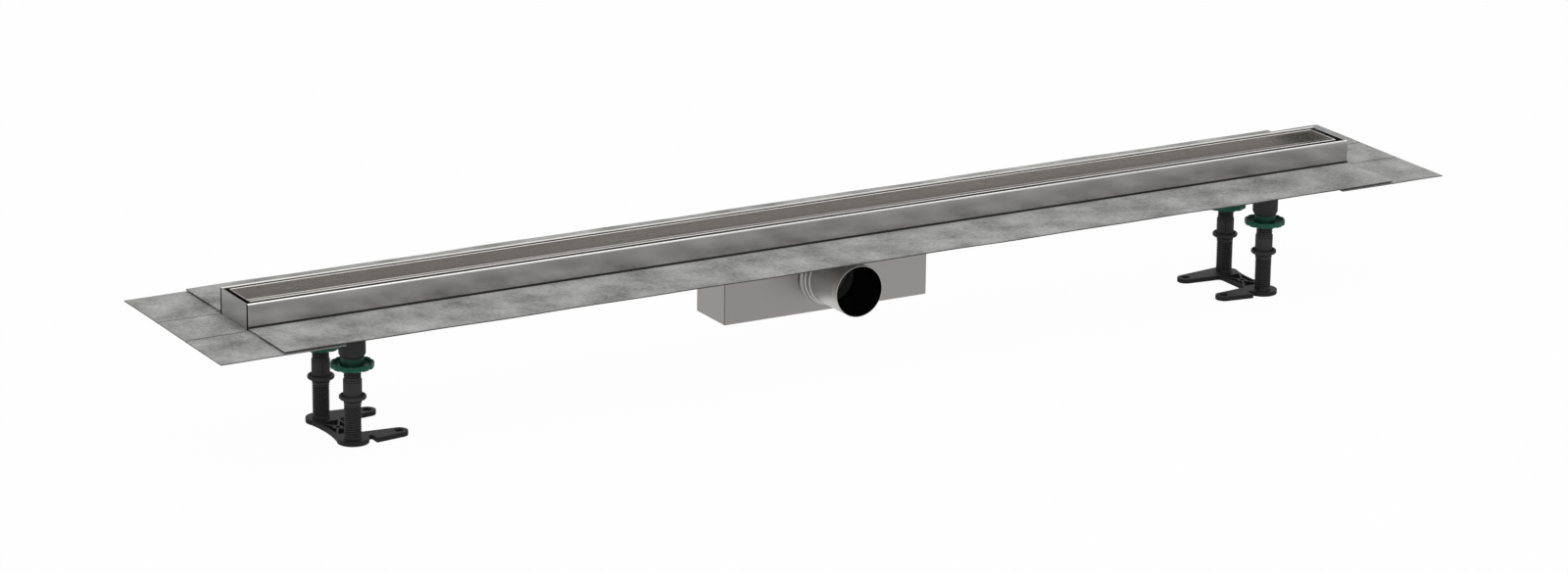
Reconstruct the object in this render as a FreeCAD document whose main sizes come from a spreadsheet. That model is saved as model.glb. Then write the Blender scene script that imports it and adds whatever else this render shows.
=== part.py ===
import FreeCAD, Part
import math
import os
import re

import Sketcher

# Linear shower drain for a tiled floor: a folded stainless channel with a tile tray, a sealing
# membrane, a shallow trap box with a DN50 outlet, and two feet set to height by hand nuts.
# X runs along the channel, -Y is the side of the outlet, +Z is up, and the floor is at Z = 0.

doc = FreeCAD.newDocument("linear_shower_drain")
sheet = doc.addObject("Spreadsheet::Sheet", "Sizes")
kept = []

# Sizes in millimetres and degrees. Levels are heights over the floor the feet stand on.
sizes = {
    # Channel
    "channel_length": 1200, "channel_width": 60, "channel_top": 144, "channel_depth": 30,
    "steel": 1.2, "hem_depth": 6, "hem_round": 1.0, "bend_radius": 1.5,
    "end_wall_slit": 1, "end_wall_drop": 0.4, "hem_fit": 0.2, "edge_round": 0.45,
    # Flange angles and membrane
    "flange_width": 25, "flange_steel": 1.1, "flange_leg": 3,
    "membrane_drop": 22.6, "membrane_thick": 1.1, "membrane_reach": 78, "membrane_gap": 0.4,
    "end_reach": 61, "end_lap": 60, "fold_width": 0.8, "fold_depth": 0.7, "fold_start": 3,
    # Tile tray and its spacers
    "tray_gap": 5.8, "tray_end_gap": 5.3, "tray_shift": -1.6, "tray_steel": 1.2, "tray_depth": 13.8,
    "tray_bend": 1,
    "spacer_inner": 200, "spacer_inset": 120, "spacer_width": 12, "spacer_fit": 0.3,
    "spacer_foot": 8, "spacer_deck": 4, "spacer_lug": 2.5, "spacer_lug_rise": 4, "spacer_skirt": 4,
    # Trap box and outlet
    "trap_length": 222, "trap_width": 54.4, "trap_depth": 92, "trap_bend": 1.4,
    "outlet_radius": 25, "outlet_wall": 1, "outlet_drop": 57.4, "outlet_reach": 88,
    "collar_reach": 9, "collar_radius": 26.8, "collar_flare": 5.2, "bead_width": 2.6, "bead_height": 1.5,
    # Water seal
    "opening_length": 130, "opening_width": 40, "funnel_lap": 5, "funnel_flange": 2, "funnel_wall": 2,
    "funnel_neck": 10, "funnel_taper": 11, "dip_length": 104, "dip_width": 24, "dip_gap": 8,
    "seal_width": 2, "seal_height": 5, "seal_fit": 0.1,
    "cup_length": 136, "cup_width": 42, "cup_wall": 2, "cup_foot": 3, "cup_foot_radius": 4,
    "cup_foot_x": 45, "cup_foot_y": 11, "weir_level": 92,
    "strainer_thick": 1.5, "strainer_slot": 4, "strainer_slot_length": 30, "strainer_pitch": 9,
    "strainer_slots": 13,
    # Feet: places, brackets and sockets
    "foot_inset": 100, "post_offset": 34,
    "bracket_length": 30, "bracket_width": 94, "bracket_steel": 2,
    "socket_radius": 12.5, "socket_mouth": 10.8, "socket_chamfer": 3.1, "socket_bore": 8.6, "socket_roof": 8,
    "screw_radius": 1.95, "screw_hole": 2, "screw_length": 8, "screw_head": 3.5, "screw_head_height": 2.4,
    # Height nuts
    "nut_level": 71.8, "nut_height": 10.1, "nut_hub": 10.5, "nut_disc": 20, "nut_disc_height": 5.2,
    "nut_dish": 3, "nut_dish_radius": 15.4, "nut_rim": 2, "nut_chamfer": 1.4, "nut_scallop": 2.6,
    "nut_scallop_out": 1.2, "nut_scallops": 12, "nut_seat": 0.3, "nut_thread_fit": 0.05,
    # Studs
    "stud_radius": 8.15, "stud_collar": 8.3, "stud_collar_level": 38, "ring_level": 40.7, "ring_height": 5.8,
    "ring_radius": 12.6, "ring_round": 2.6, "shank_radius": 8.65, "shank_top": 60.5, "shank_groove": 0.6,
    "shank_lip": 1.4, "thread_radius": 8, "stud_top": 96, "stud_point": 1, "stud_flat": 2,
    "spigot_radius": 5, "spigot_depth": 3.4, "spigot_fit": 0.05,
    # Base plates
    "plate_thick": 4.5, "boss_radius": 14.8, "arm_root": 12, "arm_root_half": 12, "arm_tip": 46,
    "arm_tip_radius": 8.5, "web_inner": 12, "web_outer": 10.5, "web_fillet": 4, "plate_round": 0.7,
    "arm_shoulder": 18.4, "notch_depth": 11, "plate_hole": 3.5, "plate_sink": 1.2,
    "pocket_floor": 1.5, "pocket_length": 38, "pocket_width": 18, "pocket_shift": 0.8,
    "rib_thick": 2.2, "rib_angle": 62, "hub_radius": 5, "hub_hole": 2.2,
}

# Places worked out from them
worked = {
    "channel_half": "channel_width / 2",
    "foot_offset": "channel_length / 2 - foot_inset",
    "spacer_outer": "channel_length / 2 - spacer_inset",
    "floor_low": "channel_top - channel_depth",
    "floor_top": "floor_low + steel",
    "flange_top": "channel_top - membrane_drop - membrane_thick",
    "tray_length": "channel_length - 2 * (steel + tray_end_gap)",
    "tray_width": "channel_width - 2 * (2 * steel + tray_gap)",
    "trap_low": "channel_top - trap_depth",
    "outlet_level": "channel_top - outlet_drop",
    "outlet_bore": "outlet_radius - outlet_wall",
    "collar_end": "trap_width / 2 + collar_reach",
    "neck_length": "opening_length - 2 * seal_width",
    "neck_width": "opening_width - 2 * seal_width",
    "neck_low": "floor_top - funnel_neck",
    "taper_low": "neck_low - funnel_taper",
    "cup_low": "trap_low + steel + cup_foot",
    "dip_low": "cup_low + cup_wall + dip_gap",
    "bracket_low": "floor_low - bracket_steel",
    "hub_top": "nut_level + nut_height",
    "socket_low": "hub_top + nut_seat",
    "arm_lean": "asin((boss_radius - arm_tip_radius) / arm_tip)",
}


def fill_sheet():
    """Every size is a cell of the sheet, and so is every place worked out from them."""
    for row, (name, amount) in enumerate(list(sizes.items()) + list(worked.items()), start=1):
        text = str(amount)
        sheet.set("A%d" % row, name)
        sheet.set("B%d" % row, "=" + text if name in worked else text)
        sheet.setAlias("B%d" % row, name)
    doc.recompute()


def value(text):
    """Number that an expression of sizes comes to."""
    return float(sheet.evalExpression(text))


def cells(text):
    """The same expression, as another object of the document has to write it."""
    return re.sub(r"[a-z_]{4,}", lambda name: "Sizes." + name.group(0), text)


def bind(thing, **properties):
    """Ties properties to expressions; x, y, z and turn are the placement."""
    names = {"x": "Placement.Base.x", "y": "Placement.Base.y", "z": "Placement.Base.z"}
    for name, text in properties.items():
        thing.setExpression(names.get(name, name), cells(text))


def new_body(label, turned=False, **place):
    """A sub-part; a turned one faces the other way round the vertical."""
    body = doc.addObject("PartDesign::Body", label)
    body.Label = label
    if turned:
        body.Placement.Rotation = FreeCAD.Rotation(FreeCAD.Vector(0, 0, 1), 180)
    bind(body, **place)
    kept.append(body)
    return body


def new_sketch(body, plane, level="0"):
    """A sketch on one of the body's own planes, moved along that plane's normal."""
    sketch = body.newObject("Sketcher::SketchObject", "Sketch")
    support = [item for item in body.Origin.OriginFeatures if item.Role == plane + "_Plane"]
    sketch.AttachmentSupport = [(support[0], "")]
    sketch.MapMode = "FlatFace"
    sketch.setExpression("AttachmentOffset.Base.z", cells(level))
    return sketch


def pin_down(sketch, item, point, x, y):
    """Holds a point of the sketch at two expressions."""
    for axis, line, text in (("X", -2, x), ("Y", -1, y)):
        amount = value(text)
        if abs(amount) < 1e-9:
            sketch.addConstraint(Sketcher.Constraint("PointOnObject", item, point, line))
        else:
            rule = Sketcher.Constraint("Distance" + axis, -1, 1, item, point, amount)
            index = sketch.addConstraint(rule)
            sketch.setExpression("Constraints[%d]" % index, cells(text))


def add_outline(sketch, points):
    """Closed polygon; each corner is a pair of expressions."""
    corners = [FreeCAD.Vector(value(x), value(y), 0) for x, y in points]
    first = sketch.GeometryCount
    count = len(corners)
    for index in range(count):
        sketch.addGeometry(Part.LineSegment(corners[index], corners[(index + 1) % count]))
    for index in range(count):
        following = first + (index + 1) % count
        sketch.addConstraint(Sketcher.Constraint("Coincident", first + index, 2, following, 1))
        pin_down(sketch, first + index, 1, *points[index])


def add_circle(sketch, x, y, radius):
    centre = FreeCAD.Vector(value(x), value(y), 0)
    item = sketch.addGeometry(Part.Circle(centre, FreeCAD.Vector(0, 0, 1), value(radius)))
    pin_down(sketch, item, 3, x, y)
    index = sketch.addConstraint(Sketcher.Constraint("Radius", item, value(radius)))
    sketch.setExpression("Constraints[%d]" % index, cells(radius))


def add_oblong(sketch, length, width):
    """Slot shape about the sketch's origin: two straight sides and two half circles."""
    radius = value(width) / 2
    reach = value(length) / 2 - radius
    normal = FreeCAD.Vector(0, 0, 1)
    first = sketch.GeometryCount
    for side, start in ((1, -90), (-1, 90)):
        circle = Part.Circle(FreeCAD.Vector(side * reach, 0, 0), normal, radius)
        arc = Part.ArcOfCircle(circle, math.radians(start), math.radians(start + 180))
        sketch.addGeometry(arc)
        edge = [FreeCAD.Vector(side * reach, side * radius, 0), FreeCAD.Vector(-side * reach, side * radius, 0)]
        sketch.addGeometry(Part.LineSegment(*edge))
    for item in range(4):
        following = first + (item + 1) % 4
        sketch.addConstraint(Sketcher.Constraint("Tangent", first + item, 2, following, 1))
    pin_down(sketch, first, 3, "(%s - (%s)) / 2" % (length, width), "0")
    pin_down(sketch, first + 2, 3, "-(%s - (%s)) / 2" % (length, width), "0")
    sketch.addConstraint(Sketcher.Constraint("Equal", first, first + 2))
    index = sketch.addConstraint(Sketcher.Constraint("Radius", first, radius))
    sketch.setExpression("Constraints[%d]" % index, cells("(%s) / 2" % width))


def add_feature(body, kind, sketch, **properties):
    feature = body.newObject("PartDesign::" + kind, kind)
    feature.Profile = sketch
    for name, amount in properties.items():
        if isinstance(amount, str) and name in ("Length", "Length2", "Angle"):
            feature.setExpression(name, cells(amount))
        else:
            setattr(feature, name, amount)
    doc.recompute()
    return feature


def pad(body, sketch, length, **properties):
    return add_feature(body, "Pad", sketch, Length=length, **properties)


def pocket(body, sketch, depth=None, **properties):
    if depth is None:
        return add_feature(body, "Pocket", sketch, Type="ThroughAll", **properties)
    return add_feature(body, "Pocket", sketch, Length=depth, **properties)


def revolve(body, sketch):
    return add_feature(body, "Revolution", sketch, ReferenceAxis=(sketch, ["V_Axis"]), Angle=360)


def round_edges(body, size, wanted, kind="Fillet"):
    """Rounds or bevels the edges that a test picks from the body as it stands."""
    doc.recompute()
    base = body.Tip
    names = ["Edge%d" % (index + 1) for index, edge in enumerate(base.Shape.Edges) if wanted(edge)]
    feature = body.newObject("PartDesign::" + kind, kind)
    feature.Base = (base, names)
    feature.setExpression("Radius" if kind == "Fillet" else "Size", cells(size))
    doc.recompute()
    return feature


def runs_along(edge, axis):
    """True for a straight edge along an axis."""
    if edge.Degenerated or edge.Curve.TypeId != "Part::GeomLine":
        return False
    direction = edge.Vertexes[-1].Point - edge.Vertexes[0].Point
    return abs(direction.normalize().dot(axis)) > 0.999


def is_ring(edge, radius):
    """True for a round edge of a radius."""
    if edge.Degenerated or edge.Curve.TypeId != "Part::GeomCircle":
        return False
    return abs(edge.Curve.Radius - radius) < 1e-4


def near(first, second):
    return abs(first - second) < 1e-4


along_x = FreeCAD.Vector(1, 0, 0)
along_y = FreeCAD.Vector(0, 1, 0)
along_z = FreeCAD.Vector(0, 0, 1)


def make_trough():
    """One folded sheet: floor, two long walls and a closed hem along each rim."""
    body = new_body("channel_trough")
    sketch = new_sketch(body, "YZ")
    right = [("channel_half", "floor_low"), ("channel_half", "channel_top"),
             ("channel_half - 2 * steel", "channel_top"),
             ("channel_half - 2 * steel", "channel_top - hem_depth"),
             ("channel_half - steel", "channel_top - hem_depth"), ("channel_half - steel", "floor_top")]
    left = [("-(%s)" % y, z) for y, z in reversed(right)]
    add_outline(sketch, right + left)
    pad(body, sketch, "channel_length", SideType="Symmetric")
    top = value("channel_top")
    round_edges(body, "hem_round", lambda edge: runs_along(edge, along_x) and near(edge.BoundBox.ZMin, top))
    low = value("floor_low")
    round_edges(body, "bend_radius", lambda edge: runs_along(edge, along_x) and near(edge.BoundBox.ZMax, low))
    sketch = new_sketch(body, "XY", "floor_top")
    add_oblong(sketch, "opening_length", "opening_width")
    pocket(body, sketch)


def make_end_wall(label, turned):
    """Plate folded up from the floor between the long walls, with an open slit at each corner.

    Its top lies a little under the rims, and beside the hems it is narrower.
    """
    body = new_body(label, turned)
    sketch = new_sketch(body, "YZ", "channel_length / 2 - steel")
    wide, narrow = "channel_half - steel - end_wall_slit", "channel_half - 2 * steel - hem_fit"
    shoulder, top = "channel_top - hem_depth - end_wall_slit", "channel_top - end_wall_drop"
    side = [(wide, "floor_top"), (wide, shoulder), (narrow, shoulder), (narrow, top)]
    add_outline(sketch, side + [("-(%s)" % y, z) for y, z in reversed(side)])
    pad(body, sketch, "steel")
    level = value(top)
    round_edges(body, "edge_round", lambda edge: runs_along(edge, along_y) and near(edge.BoundBox.ZMin, level))


def make_flange(label, side):
    """Angle welded along a long wall; its wide leg carries the membrane strip."""
    body = new_body(label)
    sketch = new_sketch(body, "YZ")
    points = [("channel_half", "flange_top"), ("channel_half + flange_width", "flange_top"),
              ("channel_half + flange_width", "flange_top - flange_steel"),
              ("channel_half + flange_steel", "flange_top - flange_steel"),
              ("channel_half + flange_steel", "flange_top - flange_leg"),
              ("channel_half", "flange_top - flange_leg")]
    add_outline(sketch, [("%s(%s)" % (side, y), z) for y, z in points])
    pad(body, sketch, "channel_length", SideType="Symmetric")


def make_strip(label, side):
    """Long membrane strip, laid on the flange from the wall outwards."""
    strip = doc.addObject("Part::Box", label)
    strip.Label = label
    start = "channel_half + membrane_gap" if side > 0 else "-channel_half - membrane_reach"
    bind(strip, Length="channel_length", Width="membrane_reach - membrane_gap", Height="membrane_thick",
         x="-channel_length / 2", y=start, z="flange_top")
    kept.append(strip)


def make_membrane_end(label, turned):
    """End piece of the membrane: laps under both strips, with two scored grooves to fold it along."""
    body = new_body(label, turned)
    top = "flange_top - flange_steel"
    sketch = new_sketch(body, "XY", top + " - membrane_thick")
    outer = "channel_length / 2 + end_reach"
    inner = "channel_length / 2 - end_lap"
    edge = "channel_half + membrane_reach"
    notch = "channel_length / 2 + membrane_gap"
    notch_side = "channel_half + flange_steel + membrane_gap"
    side = [(outer, edge), (inner, edge), (inner, notch_side), (notch, notch_side)]
    add_outline(sketch, side + [(x, "-(%s)" % y) for x, y in reversed(side)])
    pad(body, sketch, "membrane_thick")
    sketch = new_sketch(body, "XY", top)
    start = "channel_length / 2 + fold_start"
    for lower in ("channel_half + membrane_gap", "-channel_half - membrane_gap - fold_width"):
        upper = lower + " + fold_width"
        add_outline(sketch, [(start, lower), (outer, lower), (outer, upper), (start, upper)])
    pocket(body, sketch, "fold_depth")


def add_rectangle(sketch, length, width):
    """Rectangle about the sketch's origin."""
    x, y = "(%s) / 2" % length, "(%s) / 2" % width
    add_outline(sketch, [("-" + x, "-" + y), (x, "-" + y), (x, y), ("-" + x, y)])


def make_tray():
    """Folded tray that takes the tile, flush with the rims and clear of them all round."""
    body = new_body("tile_tray", x="tray_shift")
    sketch = new_sketch(body, "XY", "channel_top - tray_depth")
    add_rectangle(sketch, "tray_length", "tray_width")
    pad(body, sketch, "tray_depth")
    sketch = new_sketch(body, "XY", "channel_top")
    add_rectangle(sketch, "tray_length - 2 * tray_steel", "tray_width - 2 * tray_steel")
    pocket(body, sketch, "tray_depth - tray_steel")
    top = value("channel_top")
    round_edges(body, "edge_round", lambda edge: near(edge.BoundBox.ZMin, top))
    low = value("channel_top - tray_depth")
    inside = value("channel_top - tray_depth + tray_steel")
    round_edges(body, "tray_bend", lambda edge: near(edge.BoundBox.ZMax, inside) and near(edge.BoundBox.ZMin, inside))
    round_edges(body, "tray_bend + tray_steel", lambda edge: near(edge.BoundBox.ZMax, low))


def make_spacer(label, place):
    """Moulded bridge on the channel floor: carries the tray on its deck and centres it by two lugs."""
    body = new_body(label, x=place)
    sketch = new_sketch(body, "YZ")
    outer = "channel_half - steel - spacer_fit"
    deck = "channel_top - tray_depth"
    lug = "tray_width / 2 + spacer_fit"
    points = [("%s - spacer_foot" % outer, "floor_top"), (outer, "floor_top"),
              (outer, "floor_top + spacer_skirt"), ("%s + spacer_lug" % lug, "floor_top + 2 * spacer_skirt"),
              ("%s + spacer_lug" % lug, deck + " + spacer_lug_rise"), (lug, deck + " + spacer_lug_rise"),
              (lug, deck)]
    mirrored = [("-(%s)" % y, z) for y, z in reversed(points)]
    arch = [("-(%s - spacer_foot)" % outer, deck + " - spacer_deck"),
            ("%s - spacer_foot" % outer, deck + " - spacer_deck")]
    add_outline(sketch, points + mirrored + arch)
    pad(body, sketch, "spacer_width", SideType="Symmetric")


def make_trap_housing():
    """Box of folded sheet welded under the trough, with the outlet collar pulled out of its front."""
    body = new_body("trap_housing")
    sketch = new_sketch(body, "XY", "trap_low")
    add_rectangle(sketch, "trap_length", "trap_width")
    pad(body, sketch, "floor_low - trap_low")
    low = value("trap_low")
    round_edges(body, "trap_bend", lambda edge: runs_along(edge, along_z) or near(edge.BoundBox.ZMax, low))
    sketch = new_sketch(body, "XY", "outlet_level")
    front = "-trap_width / 2"
    add_outline(sketch, [("outlet_bore", front), ("collar_radius", front), ("collar_radius", "-collar_end"),
                         ("outlet_bore", "-collar_end")])
    revolve(body, sketch)
    root = value("collar_radius")
    face = value(front)
    round_edges(body, "collar_flare", lambda edge: is_ring(edge, root) and near(edge.BoundBox.YMax, face))
    sketch = new_sketch(body, "XY", "floor_low")
    add_rectangle(sketch, "trap_length - 2 * steel", "trap_width - 2 * steel")
    pocket(body, sketch, "floor_low - trap_low - steel")
    sketch = new_sketch(body, "XZ", "trap_width / 2")
    add_circle(sketch, "0", "outlet_level", "outlet_bore")
    pocket(body, sketch, "2 * steel")


def make_outlet_pipe():
    """Stub of DN50 pipe, butt-welded to the collar with a bead round the joint."""
    body = new_body("outlet_pipe", z="outlet_level")
    sketch = new_sketch(body, "XY")
    bead = "outlet_radius + bead_height"
    add_outline(sketch, [("outlet_bore", "-collar_end"), (bead, "-collar_end"),
                         (bead, "-collar_end - bead_width"), ("outlet_radius", "-collar_end - bead_width"),
                         ("outlet_radius", "-outlet_reach"), ("outlet_bore", "-outlet_reach")])
    revolve(body, sketch)
    crown = value(bead)
    round_edges(body, "bead_height * 0.8", lambda edge: is_ring(edge, crown))


def add_loft(body, kind, sections):
    """Lofts between oblongs, each a level with its length and width."""
    sketches = []
    for level, length, width in sections:
        sketch = new_sketch(body, "XY", level)
        add_oblong(sketch, length, width)
        sketches.append(sketch)
    doc.recompute()
    loft = body.newObject("PartDesign::" + kind, kind)
    loft.Profile = sketches[0]
    loft.Sections = sketches[1:]
    loft.Ruled = True
    doc.recompute()


def make_funnel():
    """Lift-out funnel: a flange on the channel floor, a neck through it and a dip tube below."""
    body = new_body("trap_funnel")
    sketch = new_sketch(body, "XY", "floor_top")
    add_oblong(sketch, "opening_length + 2 * funnel_lap", "opening_width + 2 * funnel_lap")
    pad(body, sketch, "funnel_flange")
    sketch = new_sketch(body, "XY", "floor_top")
    add_oblong(sketch, "neck_length", "neck_width")
    pad(body, sketch, "funnel_neck", Reversed=True)
    add_loft(body, "AdditiveLoft", [("neck_low", "neck_length", "neck_width"),
                                    ("taper_low", "dip_length", "dip_width")])
    sketch = new_sketch(body, "XY", "taper_low")
    add_oblong(sketch, "dip_length", "dip_width")
    pad(body, sketch, "taper_low - dip_low", Reversed=True)
    sketch = new_sketch(body, "XY", "floor_top + funnel_flange")
    add_oblong(sketch, "neck_length - 2 * funnel_wall", "neck_width - 2 * funnel_wall")
    pocket(body, sketch, "funnel_flange + funnel_neck")
    add_loft(body, "SubtractiveLoft", [
        ("neck_low", "neck_length - 2 * funnel_wall", "neck_width - 2 * funnel_wall"),
        ("taper_low", "dip_length - 2 * funnel_wall", "dip_width - 2 * funnel_wall")])
    sketch = new_sketch(body, "XY", "taper_low")
    add_oblong(sketch, "dip_length - 2 * funnel_wall", "dip_width - 2 * funnel_wall")
    pocket(body, sketch, "taper_low - dip_low")


def make_seal():
    """Rubber ring round the funnel's neck, where it passes the channel floor."""
    body = new_body("funnel_seal")
    sketch = new_sketch(body, "XY", "floor_top - seal_height")
    add_oblong(sketch, "opening_length - 2 * seal_fit", "opening_width - 2 * seal_fit")
    add_oblong(sketch, "neck_length + 2 * seal_fit", "neck_width + 2 * seal_fit")
    pad(body, sketch, "seal_height")


def make_cup():
    """Cup that holds the water seal; its rim is the weir, and four feet stand it on the box's floor."""
    body = new_body("trap_cup")
    sketch = new_sketch(body, "XY", "cup_low")
    add_oblong(sketch, "cup_length", "cup_width")
    pad(body, sketch, "weir_level - cup_low")
    sketch = new_sketch(body, "XY", "weir_level")
    add_oblong(sketch, "cup_length - 2 * cup_wall", "cup_width - 2 * cup_wall")
    pocket(body, sketch, "weir_level - cup_low - cup_wall")
    sketch = new_sketch(body, "XY", "cup_low")
    for x in ("cup_foot_x", "-cup_foot_x"):
        for y in ("cup_foot_y", "-cup_foot_y"):
            add_circle(sketch, x, y, "cup_foot_radius")
    pad(body, sketch, "cup_foot", Reversed=True)


def make_strainer():
    """Slotted hair strainer, laid on the funnel's flange."""
    body = new_body("hair_strainer")
    sketch = new_sketch(body, "XY", "floor_top + funnel_flange")
    add_oblong(sketch, "opening_length + 2 * funnel_lap", "opening_width + 2 * funnel_lap")
    pad(body, sketch, "strainer_thick")
    sketch = new_sketch(body, "XY", "floor_top + funnel_flange + strainer_thick")
    start = "-(strainer_slots - 1) * strainer_pitch / 2"
    left, right = start + " - strainer_slot / 2", start + " + strainer_slot / 2"
    add_outline(sketch, [(left, "-strainer_slot_length / 2"), (right, "-strainer_slot_length / 2"),
                         (right, "strainer_slot_length / 2"), (left, "strainer_slot_length / 2")])
    slot = pocket(body, sketch)
    row = body.newObject("PartDesign::LinearPattern", "LinearPattern")
    row.Originals = [slot]
    row.Direction = (sketch, ["H_Axis"])
    row.setExpression("Length", cells("(strainer_slots - 1) * strainer_pitch"))
    row.setExpression("Occurrences", cells("strainer_slots"))
    body.Tip = row
    doc.recompute()


def make_bracket(label, place):
    """Flat steel bar across the underside of the trough, drilled for the two socket screws."""
    body = new_body(label, x=place)
    sketch = new_sketch(body, "XY", "bracket_low")
    add_rectangle(sketch, "bracket_length", "bracket_width")
    for y in ("post_offset", "-post_offset"):
        add_circle(sketch, "0", y, "screw_hole")
    pad(body, sketch, "bracket_steel")


def make_socket(label, x, y):
    """Turned plastic socket under the bracket: stands on the nut's hub, and the stud slides in its bore."""
    body = new_body(label, x=x, y=y)
    sketch = new_sketch(body, "XZ")
    add_outline(sketch, [("screw_hole", "bracket_low"), ("socket_radius", "bracket_low"),
                         ("socket_radius", "socket_low + socket_chamfer"), ("socket_mouth", "socket_low"),
                         ("socket_bore", "socket_low"), ("socket_bore", "bracket_low - socket_roof"),
                         ("screw_hole", "bracket_low - socket_roof")])
    revolve(body, sketch)


def make_nut(label, x, y):
    """Hand nut: a dished, scalloped disc with a hub, on the stud's upper thread."""
    body = new_body(label, x=x, y=y, z="nut_level")
    sketch = new_sketch(body, "XZ")
    bore = "thread_radius + nut_thread_fit"
    dish = "nut_disc_height - nut_dish"
    add_outline(sketch, [
        (bore, "0"), ("nut_disc - nut_chamfer", "0"), ("nut_disc", "nut_chamfer"),
        ("nut_disc", "nut_disc_height - nut_chamfer / 2"), ("nut_disc - nut_chamfer / 2", "nut_disc_height"),
        ("nut_dish_radius + nut_rim", "nut_disc_height"), ("nut_dish_radius", dish), ("nut_hub", dish),
        ("nut_hub", "nut_height"), (bore, "nut_height")])
    revolve(body, sketch)
    sketch = new_sketch(body, "XY", "nut_disc_height")
    add_circle(sketch, "nut_disc + nut_scallop_out", "0", "nut_scallop")
    scallop = pocket(body, sketch)
    ring = body.newObject("PartDesign::PolarPattern", "PolarPattern")
    ring.Originals = [scallop]
    ring.Axis = (sketch, ["N_Axis"])
    ring.Angle = 360
    ring.setExpression("Occurrences", cells("nut_scallops"))
    body.Tip = ring
    doc.recompute()


def make_stud(label, x, y, turned):
    """Moulded stud: spigot in the base plate, thread with a flat, ring, plain shank, upper thread."""
    body = new_body(label, turned, x=x, y=y)
    sketch = new_sketch(body, "XZ")
    ring_top = "ring_level + ring_height"
    lip = "shank_top - shank_lip"
    add_outline(sketch, [
        ("0", "plate_thick - spigot_depth"), ("spigot_radius", "plate_thick - spigot_depth"),
        ("spigot_radius", "plate_thick"), ("stud_radius", "plate_thick"), ("stud_radius", "stud_collar_level"),
        ("stud_collar", "stud_collar_level"), ("stud_collar", "ring_level"), ("ring_radius", "ring_level"),
        ("ring_radius", ring_top), ("shank_radius", ring_top), ("shank_radius", lip + " - shank_groove"),
        ("shank_radius - shank_groove", lip + " - shank_groove"), ("shank_radius - shank_groove", lip),
        ("shank_radius", lip), ("shank_radius", "shank_top"), ("thread_radius", "shank_top"),
        ("thread_radius", "stud_top - stud_point"), ("thread_radius - stud_point", "stud_top"),
        ("0", "stud_top")])
    revolve(body, sketch)
    rim = value("ring_radius")
    round_edges(body, "ring_round", lambda edge: is_ring(edge, rim))
    sketch = new_sketch(body, "XY", "stud_collar_level")
    flat = "stud_radius - stud_flat"
    add_outline(sketch, [(flat, "-stud_radius"), ("stud_radius + stud_flat", "-stud_radius"),
                         ("stud_radius + stud_flat", "stud_radius"), (flat, "stud_radius")])
    pocket(body, sketch, "stud_collar_level - plate_thick")


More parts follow.
